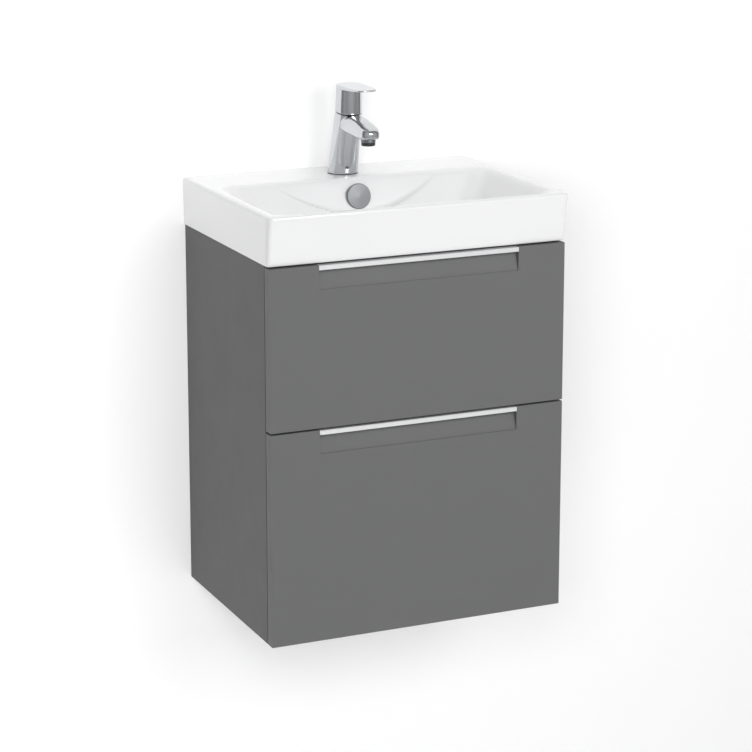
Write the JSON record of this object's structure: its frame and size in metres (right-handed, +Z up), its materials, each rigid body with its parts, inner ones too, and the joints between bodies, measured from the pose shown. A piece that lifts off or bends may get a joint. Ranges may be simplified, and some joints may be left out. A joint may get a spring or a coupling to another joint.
{
  "type": "wall-hung bathroom vanity cabinet",
  "caption": "Wall-hung vanity cabinet: matt grey drawers with recessed grip handles under a white ceramic basin with a leaning chrome mixer tap.",
  "frame": {"origin": "on the wall, midway between the two wall screws that hold the hanging plates", "axes": "+Z up, +Y towards the wall, so the drawers open along -Y; +X to the right seen from the front"},
  "size_m": [0.497, 0.369, 0.8115],
  "materials": {
    "carcass_board": "matt grey melamine-faced board",
    "drawer_front": "matt grey lacquered board",
    "drawer_board": "white melamine-faced board",
    "dowel_wood": "fluted beech",
    "zinc_plated": "bright zinc plating",
    "drawer_steel": "pale grey powder coat",
    "ceramic": "glossy white glaze",
    "chrome": "polished chrome plating",
    "satin_metal": "satin chrome",
    "brass": "turned brass",
    "dark_plastic": "moulded black",
    "grey_plastic": "moulded grey",
    "rubber": "soft black rubber",
    "white_plastic": "moulded white polypropylene",
    "handle_aluminium": "satin anodised aluminium"
  },
  "bodies": {
    "cabinet": {"side_panel_left": "carcass_board", "side_panel_right": "carcass_board", "bottom_panel": "carcass_board", "front_rail_top": "carcass_board", "front_rail_middle": "carcass_board", "back_rail_upper": "carcass_board", "back_rail_lower": "carcass_board", "carcass_dowels": "dowel_wood", "cam_fittings": "zinc_plated", "hanger_housing_left": "white_plastic", "hanger_housing_right": "white_plastic", "hanger_hook_left": "zinc_plated", "hanger_hook_right": "zinc_plated", "hanger_screws": "zinc_plated", "wall_plates": "zinc_plated", "upper_rail_left": "zinc_plated", "upper_rail_right": "zinc_plated", "lower_rail_left": "zinc_plated", "lower_rail_right": "zinc_plated", "rail_screws": "zinc_plated", "basin": "ceramic", "overflow_cover": "satin_metal", "waste_flange": "chrome", "waste_gasket": "rubber", "waste_nut": "white_plastic", "trap_inlet_pipe": "white_plastic", "trap_bottle": "white_plastic", "trap_nuts": "white_plastic", "trap_outlet_pipe": "white_plastic", "tap_body": "chrome", "tap_base_seal": "rubber", "tap_aerator": "satin_metal", "tap_cartridge": "grey_plastic", "tap_cartridge_nut": "brass", "tap_stud": "zinc_plated", "tap_clamp_plate": "zinc_plated", "tap_clamp_nut": "brass"},
    "waste_plug": {"waste_plug": "chrome"},
    "tap_spindle": {"tap_spindle": "dark_plastic", "tap_lever_pin": "zinc_plated"},
    "tap_lever": {"tap_lever": "chrome"},
    "upper_drawer": {"upper_front": "drawer_front", "upper_handle": "handle_aluminium", "upper_handle_screws": "zinc_plated", "upper_side_left": "drawer_steel", "upper_side_right": "drawer_steel", "upper_floor": "drawer_board", "upper_back": "drawer_board", "upper_trap_surround": "white_plastic"},
    "upper_slides": {"upper_slide_left": "zinc_plated", "upper_slide_right": "zinc_plated"},
    "lower_drawer": {"lower_front": "drawer_front", "lower_handle": "handle_aluminium", "lower_handle_screws": "zinc_plated", "lower_side_left": "drawer_steel", "lower_side_right": "drawer_steel", "lower_floor": "drawer_board", "lower_back": "drawer_board"},
    "lower_slides": {"lower_slide_left": "zinc_plated", "lower_slide_right": "zinc_plated"}
  },
  "joints": [
    {"name": "upper_drawer_travel", "type": "slide", "parent": "cabinet", "child": "upper_drawer", "axis": [0, -1, 0], "range_m": [0, 0.256]},
    {"name": "upper_slides_travel", "type": "slide", "parent": "cabinet", "child": "upper_slides", "axis": [0, -1, 0], "range_m": [0, 0.128]},
    {"name": "lower_drawer_travel", "type": "slide", "parent": "cabinet", "child": "lower_drawer", "axis": [0, -1, 0], "range_m": [0, 0.256]},
    {"name": "lower_slides_travel", "type": "slide", "parent": "cabinet", "child": "lower_slides", "axis": [0, -1, 0], "range_m": [0, 0.128]},
    {"name": "tap_swivel", "type": "hinge", "parent": "cabinet", "child": "tap_spindle", "pos_m": [0, -0.089, 0.219], "axis": [0, -0.1736, 0.9848], "range_deg": [-50, 50]},
    {"name": "tap_lift", "type": "hinge", "parent": "tap_spindle", "child": "tap_lever", "pos_m": [0, -0.08202, 0.22835], "axis": [-1, 0, 0], "range_deg": [0, 20]},
    {"name": "waste_plug_lift", "type": "slide", "parent": "cabinet", "child": "waste_plug", "axis": [0, 0, 1], "range_m": [0, 0.007]}
  ],
  "couplings": [
    {"joint": "upper_slides_travel", "follows": "upper_drawer_travel", "ratio": 0.5},
    {"joint": "lower_slides_travel", "follows": "lower_drawer_travel", "ratio": 0.5}
  ]
}
